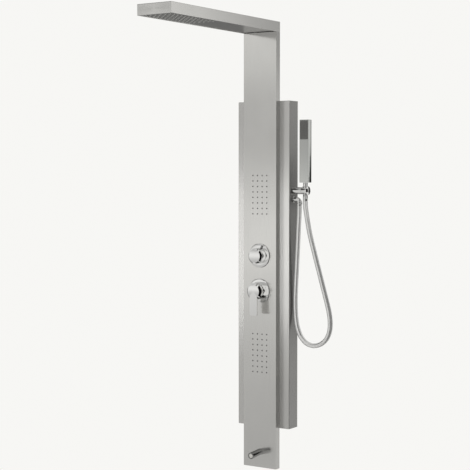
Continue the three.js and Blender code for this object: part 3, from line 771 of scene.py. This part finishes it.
def make_jets():
    radius, stand, root, bore = JET_TIP.values()
    for level in ("upper", "lower"):
        node = f"{level}_jet_nozzle_mat"
        low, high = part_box(node)
        sheet = block((low.x, FACE + SHEET + GAP, low.z), high)
        tip = nozzle(radius, 0.8 * radius, stand + root, bore)
        moved(tip, Matrix.Translation((0, FACE + root, 0)) @ TIPPED)
        places = [place - Vector((0, FACE, 0)) for place in jet_places(node)]
        jets = stamped(tip, places)
        piece(f"{level}_jets", gathered([sheet, jets]), "dark", replaces=[node])


# ------------------------------------------------------------------ controls
FLANGE = {"radius": 0.038, "rim": 0.0016, "height": 0.004}
FLANGE_BORES = {"diverter": 0.0102, "mixer": 0.0178}
KNOB = {"radius": 0.0249, "length": 0.0319, "chamfer": 0.0048, "base": 0.0046, "wall": 0.002}
KNOB_HUB = {"radius": 0.007, "foot": 0.008, "bore": 0.0043, "roof": 0.026}
POINTER = {"half": 0.0019, "tip": 0.0344, "low": 0.0048, "high": 0.0089, "turn": math.radians(20)}
CAP = {"radius": 0.0269, "length": 0.038, "chamfer": 0.0062, "pivot": 0.002, "ball": 0.033}
LEVER = {"width": 0.027, "start": 0.014, "drop": 0.0755, "thickness": 0.005, "corner": 0.006}
SLEEVE = {"radius": 0.027, "wall": 0.0025, "hole": math.radians(31), "clearance": 0.0005}


def make_escutcheon(control, place):
    radius, rim, height = FLANGE.values()
    bore = FLANGE_BORES[control]
    profile = [
        (bore, GAP), (radius, GAP), (radius, height - rim), (radius - rim, height), (bore, height),
    ]
    mesh = lathe(eased(profile, [0, 0.0002, 0.0008, 0.0012, 0.0003], 4, closed=True), sides=96)
    flange = facing_out(mesh, place)
    piece(f"{control}_flange", flange, "chrome", replaces=[f"{control}_escutcheon"])


def make_diverter():
    radius, length, chamfer, base, wall = KNOB.values()
    hub, foot, bore, roof = KNOB_HUB.values()
    profile = [
        (0, length), (radius - chamfer, length), (radius, length - chamfer), (radius, base),
        (radius - wall, base), (radius - wall, roof), (hub, roof), (hub, foot),
        (bore, foot), (bore, roof), (0, roof),
    ]
    radii = [0, 0.0004, 0.0006, 0.0004, 0.0003, 0, 0, 0, 0, 0, 0]
    knob = facing_out(lathe(eased(profile, radii, 4), sides=96), DIVERTER_AT)
    piece("diverter_knob_turned", knob, "chrome", "diverter_dial", ["diverter_knob"])
    half, tip, low, high, turn = POINTER.values()
    fin = block((-half, radius + GAP, low), (half, tip, high))
    moved(fin, Matrix.Translation(DIVERTER_AT) @ Matrix.Rotation(turn, 4, "Y") @ OUTWARD)
    nodes = ["diverter_pointer"]
    # The fin's chrome is painted dark: painted shade.
    piece("diverter_pointer_fin", fin, "chrome_painted_dark", "diverter_dial", nodes, bevel=0.0005)
    make_escutcheon("diverter", DIVERTER_AT)


def ball_arc(ball, start, end, steps):
    """An arc of the ball that the handle rides on, as [radius, out] pairs."""
    turns = (start + (end - start) * i / steps for i in range(steps + 1))
    return [(ball * math.sin(t), CAP["pivot"] + ball * math.cos(t)) for t in turns]


def make_mixer():
    radius, length, chamfer, _, ball = CAP.values()
    hollow = ball_arc(ball, 0, math.asin(radius / ball), 12)
    profile = hollow + [(radius, length - chamfer), (radius - chamfer, length), (0, length)]
    radii = [0] * (len(hollow) - 1) + [0.0002, 0.0007, 0.0006, 0]
    cap = lathe(eased(profile, radii, 4), sides=96)
    width, start, drop, thickness, corner = LEVER.values()
    half = width / 2
    outline = [(half, -start), (-half, -start)]
    outline += arc((corner - half, corner - drop), corner, 180, 270, 8)
    outline += arc((half - corner, corner - drop), corner, 270, 360, 8)
    blade = prism(outline, length - thickness, length)
    facing_out(cap, MIXER_AT)
    facing_out(blade, MIXER_AT)
    handle = carved("mixer_handle_cast", cap, blade, "UNION")
    bevelled(handle, 0.0006, angle=40)
    finished(handle, "chrome", "mixer_lever", ["mixer_handle"])
    make_sleeve()
    make_escutcheon("mixer", MIXER_AT)


def make_sleeve():
    """The fixed dome under the handle, open in the middle for the stem."""
    radius, wall, hole, clearance = SLEEVE.values()
    outer = CAP["ball"] - clearance
    inner = outer - wall
    foot = FLANGE["height"] + GAP
    profile = [(radius, foot)]
    profile += ball_arc(outer, math.asin(radius / outer), hole, 10)
    profile += ball_arc(inner, hole, math.asin((radius - wall) / inner), 8)
    profile += [(radius - wall, foot)]
    dome = facing_out(lathe(profile, sides=96), MIXER_AT)
    piece("mixer_dome", dome, "chrome", replaces=["mixer_sleeve"])


# ------------------------------------------------------------------ spout
SPOUT = {"radius": 0.01, "bore": 0.0072, "length": 0.053, "droop": math.radians(4.6)}


def make_spout():
    radius, bore, length, droop = SPOUT.values()
    place = Matrix.Translation(SPOUT_AT) @ Matrix.Rotation(droop, 4, "X") @ OUTWARD
    root, reach = -0.004, 0.04
    profile = [(bore, root), (radius, root), (radius, length), (bore, length)]
    tube = lathe(eased(profile, [0, 0, 0.0011, 0.0007], 4, closed=True), sides=64)
    behind = block((-reach, FACE - GAP, BOTTOM), (reach, FACE + reach, BOTTOM + 0.1))
    spout = carved("spout_tube", moved(tube, place), behind)
    # The spout's chrome is painted dark: painted shade.
    finished(spout, "chrome_painted_dark", replaces=["spout"])
    back, front, dish = length - 0.004, length - 0.0015, length - 0.0024
    rim, ring = bore - GAP, bore - 0.0016
    disc = [(0, back), (rim, back), (rim, front), (ring, front), (ring, dish), (0, dish)]
    aerator = moved(lathe(disc, sides=48), place)
    piece("spout_flow_former", aerator, "plastic", replaces=["spout_aerator"])


# ------------------------------------------------------------------ holder, elbow and hand shower
HOLDER = {"radius": 0.011, "bore": 0.008, "cap": 0.0138, "crown": 0.0024, "tail": 0.005}
ELBOW = {"radius": 0.0078, "bend": 0.009, "collar": 0.009, "tail": 0.006}
HAND = {"fillet": 0.0016, "columns": 4, "rows": 7, "pitch": 0.007}
HAND_DEPTHS = {"mat": 0.0006, "mat_back": 0.0021, "field": 0.0024}  # below the face
RIB = {"half": 0.0021, "stand": 0.0004, "sink": 0.0002, "inset": 0.0006}
STEM = {"bore": 0.0045, "radius": 0.0073, "collar": 0.0089, "rise": 0.0022, "top": 0.007}


def make_holder():
    """The arm out of the housing, the sleeve that the hand shower stands in, and its domed disc."""
    radius, bore, rim, crown, tail = HOLDER.values()
    middle = centre_of("holder_socket")
    at = Vector((0, middle.y, middle.z))
    low, high = (corner.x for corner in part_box("holder_bar"))
    start = HOUSING_HIGH.x + GAP
    profile = [(0, low), (tail, low), (tail, start), (radius, start), (radius, high), (0, high)]
    arm = lathe(eased(profile, [0, 0.0004, 0, 0.0006, 0.0003, 0]), sides=72)
    piece("holder_arm", facing_side(arm, at), "chrome", replaces=["holder_bar"])
    low, high = (corner.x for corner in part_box("holder_socket"))
    profile = [(0, low), (radius, low), (radius, high), (0, high)]
    body = facing_side(lathe(eased(profile, [0, 0.0003, 0.0003, 0]), sides=72), at)
    hole = bar(bore, 0.02, 36)
    moved(hole, Matrix.Translation((centre_of("hand_shower_neck").x, at.y, at.z)))
    socket = carved("holder_sleeve", body, hole)
    bevelled(socket, 0.0004, angle=50)
    finished(socket, "chrome", replaces=["holder_socket"])
    low, high = (corner.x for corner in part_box("holder_end_cap"))
    ball = (rim**2 + crown**2) / (2 * crown)
    steps = 10
    turns = [math.asin(rim / ball) * i / steps for i in range(steps, -1, -1)]
    dome = [(ball * math.sin(t), high - ball * (1 - math.cos(t))) for t in turns]
    profile = [(0, low), (rim, low), *dome]
    disc = lathe(eased(profile, [0, 0.0003, 0.0004] + [0] * steps, 4), sides=72)
    piece("holder_disc", facing_side(disc, at), "chrome", replaces=["holder_end_cap"])


def collar(radius, length, lip, ease):
    """A turned collar on z = 0 with an eased outer end."""
    profile = [(0, 0), (radius, 0), (radius, length - ease), (lip, length), (0, length)]
    return lathe(eased(profile, 0.0006, 3), sides=64)


def make_elbow():
    """A swept right-angle bend with a wall collar and an end collar."""
    radius, bend, wide, tail_radius = ELBOW.values()
    low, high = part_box("hose_outlet_elbow")
    start = HOUSING_HIGH.x + GAP
    x, z = centre_of("hose_outlet_nut").x, high.z - wide
    straight = 0.0075
    path = [Vector((start, HOSE_Y, z)), Vector((start + straight, HOSE_Y, z))]
    path += [Vector((px, HOSE_Y, pz)) for px, pz in arc((x - bend, z - bend), bend, 90, 0, 12)]
    path += [Vector((x, HOSE_Y, low.z))]
    tube = tube_rings(path, [radius] * len(path), sides=48)
    wall_collar = collar(wide, length=0.0058, lip=0.0079, ease=0.0013)
    facing_side(wall_collar, (start, HOSE_Y, z))
    end_collar = collar(wide, length=0.0044, lip=0.0079, ease=0.0009)
    moved(end_collar, Matrix.Translation((x, HOSE_Y, low.z)))
    profile = [(0, low.x), (tail_radius, low.x), (tail_radius, start), (0, start)]
    tail = facing_side(lathe(profile, sides=40), (0, HOSE_Y, z))
    elbow = gathered([tube, wall_collar, end_collar, tail])
    piece("outlet_elbow", elbow, "chrome", replaces=["hose_outlet_elbow"], sharp=40)


def make_hand_shower():
    low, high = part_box("hand_shower_body")
    middle = (low + high) / 2
    mat_low, mat_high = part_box("hand_shower_nozzle_mat")
    depths = HAND_DEPTHS
    field_low = Vector((mat_low.x - GAP, low.y - OVER, mat_low.z - GAP))
    field_high = Vector((mat_high.x + GAP, low.y + depths["field"], mat_high.z + GAP))
    outline = rounded_box(high.x - low.x, high.y - low.y, HAND["fillet"])
    shell = moved(prism(outline, low.z, high.z), Matrix.Translation((middle.x, middle.y, 0)))
    shell = scored(scored(shell, 0, [middle.x]), 2, [(mat_low.z + mat_high.z) / 2])
    body = carved("hand_shower_shell", shell, block(field_low, field_high))
    bevelled(body, 0.0007, 4, 40)
    finished(body, "satin", "hand_shower", ["hand_shower_body"])
    face, back = low.y + depths["mat"], low.y + depths["mat_back"]
    sheet = block((mat_low.x, face, mat_low.z), (mat_high.x, back, mat_high.z))
    centre = (mat_low + mat_high) / 2
    xs = spaced(HAND["columns"], HAND["pitch"], centre.x)
    zs = spaced(HAND["rows"], HAND["pitch"], centre.z)
    tip = moved(nozzle(base=0.0014, tip=0.001, height=0.0012, bore=0.0004), TIPPED)
    tips = stamped(tip, [(x, face, z) for z in zs for x in xs])
    half, stand, sink, inset = RIB.values()
    ribs = [
        block((mat_low.x + inset, face - stand, z - half), (mat_high.x - inset, face + sink, z + half))
        for z in zs
    ]
    mat = gathered([sheet, tips, *ribs])
    piece("hand_shower_nozzles", mat, "dark", "hand_shower", ["hand_shower_nozzle_mat"])
    bore, radius, wide, rise, top = STEM.values()
    foot, end = (corner.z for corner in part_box("hand_shower_neck"))
    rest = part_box("holder_bar")[1].z + GAP
    profile = [
        (bore, foot), (radius, foot), (radius, rest), (wide, rest),
        (wide, rest + rise), (top, rest + rise), (top, end), (bore, end),
    ]
    radii = [0, 0.0005, 0.0002, 0.0006, 0.0006, 0.0006, 0, 0]
    neck = lathe(eased(profile, radii, 3, closed=True), sides=64)
    moved(neck, Matrix.Translation((middle.x, middle.y, 0)))
    piece("hand_shower_stem", neck, "chrome", "hand_shower", ["hand_shower_neck"])


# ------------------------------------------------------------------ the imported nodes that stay
KEPT = {
    "column": ["upper_back_cover", "lower_back_cover"],
    "inner": [
        "upper_panel_clip", "lower_panel_clip", "upper_wall_bracket", "lower_wall_bracket",
        "upper_hanger_rail", "lower_hanger_rail", "front_chamber_clamp", "rear_chamber_clamp",
        "hot_inlet_filter", "cold_inlet_filter", "mixer_to_diverter_pipe", "head_feed_pipe",
        "upper_jet_feed_pipe", "hand_shower_feed_pipe", "lower_jet_feed_pipe", "spout_feed_pipe",
    ],
    "plastic": [
        "head_water_chamber", "upper_jet_manifold", "lower_jet_manifold", "diverter_cartridge",
        "mixer_cartridge", "mixer_cartridge_rotor",
    ],
    "brass": [
        "diverter_valve_body", "mixer_valve_body", "diverter_stem", "mixer_stem", "spout_elbow",
        "holder_bar_nut", "outlet_elbow_nut",
    ],
}


def finish_kept_nodes():
    """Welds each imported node's split corners, rounds its edges and gives it its finish."""
    for material, names in KEPT.items():
        for name in names:
            obj = frame["nodes"][name]
            obj.data.materials.clear()
            obj.data.materials.append(MATERIALS[material])
            weld = obj.modifiers.new("weld", "WELD")
            weld.merge_threshold = 1e-6
            if name.endswith("pipe"):
                obj.modifiers.new("round", "SUBSURF").render_levels = 2
            else:
                bevelled(obj, 0.0004, 2, 40)


# ------------------------------------------------------------------ stage
PALE = (0.93, 0.926, 0.905)


def make_floor():
    """A plain pale floor, well below the column. Reflections don't show it."""
    under, top = BOTTOM - 0.77, BOTTOM - 0.75
    floor = added("floor", block((-1.6, -1.9, under), (1.6, 0.9, top)))
    material = bpy.data.materials.new("floor")
    tree = Tree(material)
    tree.surface({"Base Color": (0.85, 0.845, 0.83, 1), "Roughness": 0.9})
    floor.data.materials.append(material)
    floor.visible_glossy = False


# The studio as the metal sees it. Each patch lays its level of light over a stretch of directions,
# on top of the patches before it. Bearings are from the front, -Y, towards the right, +X, heights
# are above or below level, and both are in degrees.
BASE_LEVEL = 0.72
PATCHES = [
    # bearing from, to, height from, to, softness across, up, level
    (-180, 180, -90, -18, 5, 5, 0.80),  # the ground all round
    (-180, 180, -91, -66, 5, 4, 0.03),  # dark straight below
    (-85, -31, 14, 47, 3, 4, 0.02),  # dark, high on the left
    (12, 36, -50, 60, 4, 8, 1.2),  # a tall light in front, on the right
    (124, 146, -22, 40, 2.5, 5, 0.95),  # a tall light behind, on the right
    (147.5, 185, -6.5, 0.9, 1.2, 0.9, 0.03),  # dark beside it, at level
    (146.5, 158, 4.8, 30, 1.5, 1.0, 0.25),  # dim over that
    (-190, -100, -40, 4, 6, 3, 0.24),  # dim behind, on the left
    (156, 190, -14, 14, 3, 3, 0.03),  # dark straight behind, up to the seam of the bearings
    (-190, -155, -14, 14, 3, 3, 0.03),  # and from the seam on
]
BAND = {"left": -75, "right": 12, "soft": 12, "fade": 2}  # the bearings that PANEL_LIGHT is laid on
PANEL_LIGHT = [  # height and level of the light that the flat front faces mirror
    (-16, 0.62), (-12, 0.50), (-10.5, 0.56), (-8, 0.62), (-6.5, 0.68), (-5.2, 0.80), (-4, 0.98),
    (-2.5, 1.05), (-1.2, 0.95), (0, 0.74), (1.4, 0.55), (3, 0.50), (4.4, 0.66), (5.4, 1.0),
    (6.6, 1.04), (8, 0.60), (12, 0.5),
]


def make_studio():
    world = bpy.data.worlds.new("studio")
    scene.world = world
    tree = Tree(world)
    direction = tree.add("ShaderNodeTexCoord").outputs["Generated"]
    x, y, z = tree.add("ShaderNodeSeparateXYZ", {0: direction}).outputs
    bearing = tree.math("ARCTAN2", x, tree.math("MULTIPLY", y, -1.0))
    bearing = tree.math("MULTIPLY", bearing, 180 / math.pi)
    height = tree.math("MULTIPLY", tree.math("ARCSINE", z), 180 / math.pi)

    def edge(value, at, softness):
        inputs = {"Value": value, "From Min": at - softness, "From Max": at + softness}
        return tree.add("ShaderNodeMapRange", inputs, interpolation_type="SMOOTHSTEP").outputs[0]

    def inside(value, low, high, softness):
        return tree.math("SUBTRACT", edge(value, low, softness), edge(value, high, softness))

    def painted(under, over, mask):
        """The level under, with the level over laid on it where the mask is 1."""
        step = tree.math("MULTIPLY", tree.math("SUBTRACT", over, under), mask)
        return tree.math("ADD", under, step)

    level = BASE_LEVEL
    for left, right, low, high, across, up, value in PATCHES:
        columns, rows = inside(bearing, left, right, across), inside(height, low, high, up)
        level = painted(level, value, tree.math("MULTIPLY", columns, rows))
    ramp = tree.add("ShaderNodeValToRGB")
    low, high = PANEL_LIGHT[0][0], PANEL_LIGHT[-1][0]
    place = {"Value": height, "From Min": low, "From Max": high}
    tree.links.new(tree.add("ShaderNodeMapRange", place).outputs[0], ramp.inputs[0])
    stops = ramp.color_ramp.elements
    while len(stops) < len(PANEL_LIGHT):
        stops.new(0.5)
    for stop, (angle, value) in zip(stops, PANEL_LIGHT):
        stop.position = (angle - low) / (high - low)
        stop.color = (value, value, value, 1)
    left, right, soft, fade = BAND.values()
    columns, rows = inside(bearing, left, right, soft), inside(height, low + fade, high - fade, fade)
    level = painted(level, ramp.outputs[0], tree.math("MULTIPLY", columns, rows))
    light = tree.add("ShaderNodeBackground", {"Color": (1.0, 0.995, 0.975, 1), "Strength": level})
    backdrop = tree.add("ShaderNodeBackground", {"Color": (*PALE, 1), "Strength": 1.0})
    seen = tree.add("ShaderNodeLightPath").outputs["Is Camera Ray"]
    inputs = {0: seen, 1: light.outputs[0], 2: backdrop.outputs[0]}
    mixed = tree.add("ShaderNodeMixShader", inputs).outputs[0]
    tree.add("ShaderNodeOutputWorld", {"Surface": mixed})
    scene.view_settings.view_transform = "Standard"


SOFTBOX = {"width": 1.4, "height": 0.8, "energy": 2.2, "distance": 3}
SOFTBOX_AIM = Vector((0.08, HOUSING_LOW.y, -0.4))
SOFTBOX_SIDE = Vector((-0.545, -0.838, -0.057))  # from the aim towards the light


def make_housing_light():
    """A wide soft light at the front on the left, which only the housing receives."""
    lamp = bpy.data.lights.new("housing_softbox", "AREA")
    lamp.shape = "RECTANGLE"
    lamp.size, lamp.size_y = SOFTBOX["width"], SOFTBOX["height"]
    lamp.energy = SOFTBOX["energy"]
    lamp.use_shadow = False
    lamp.cycles.use_multiple_importance_sampling = False
    light = bpy.data.objects.new("housing_softbox", lamp)
    light.location = SOFTBOX_AIM + SOFTBOX_SIDE * SOFTBOX["distance"]
    light.rotation_euler = (SOFTBOX_AIM - light.location).to_track_quat("-Z", "Y").to_euler()
    scene.collection.objects.link(light)
    receivers = bpy.data.collections.new("lit_by_softbox")
    receivers.objects.link(bpy.data.objects["housing"])
    light.light_linking.receiver_collection = receivers


def card(name, mesh, material):
    """A black card as in a product studio: only the chrome and the steel see it."""
    obj = added(name, mesh)
    obj.data.materials.append(material)
    obj.visible_camera = False
    obj.visible_shadow = False
    obj.visible_diffuse = False


CARD_FRONT = (-0.6, -0.598)  # Y of the low card, in front of the spout
CARD_SIDE = (0.30, 0.302)  # X of the cards on the right
CARD_LOW, CARD_HIGH = MIXER_AT.z - 0.58, DIVERTER_AT.z + 0.62
SIDE_CARDS = {  # Y from and to, Z from and to
    "side_card": (-0.45, -0.16, CARD_LOW, CARD_HIGH),  # for the black crescents on the knobs
    "side_card_low": (-0.16, 0.05, CARD_LOW, -0.27),  # the same nearer the wall, below the holder
    "disc_card": (0.0, 0.12, -0.24, -0.16),  # for the holder's disc
}
REAR_CARD = [  # Y and Z of the card that the hand shower's right side mirrors
    (0.16, -0.26), (0.243, -0.26), (0.243, -0.09), (0.224, -0.09), (0.175, -0.17),
]


def make_cards():
    black = bpy.data.materials.new("card")
    Tree(black).surface({"Base Color": (0, 0, 0, 1), "Roughness": 1.0, "Specular IOR Level": 0.0})
    near, far = CARD_FRONT
    card("low_card", block((-0.1, near, BOTTOM + 0.02), (0.25, far, BOTTOM + 0.22)), black)
    left, right = CARD_SIDE
    for name, (front, back, low, high) in SIDE_CARDS.items():
        card(name, block((left, front, low), (right, back, high)), black)
    upright = Matrix(((0, 0, 1, 0), (1, 0, 0, 0), (0, 1, 0, 0), (0, 0, 0, 1)))  # XYZ to YZX
    card("rear_card", moved(prism(REAR_CARD, left, right), upright), black)


# ------------------------------------------------------------------ the whole
make_hose_nuts()
make_hose()
make_front_panel()
make_housing()
make_head()
make_rain_field()
make_jets()
make_diverter()
make_mixer()
make_spout()
make_holder()
make_elbow()
make_hand_shower()
finish_kept_nodes()
make_floor()
make_studio()
make_housing_light()
make_cards()
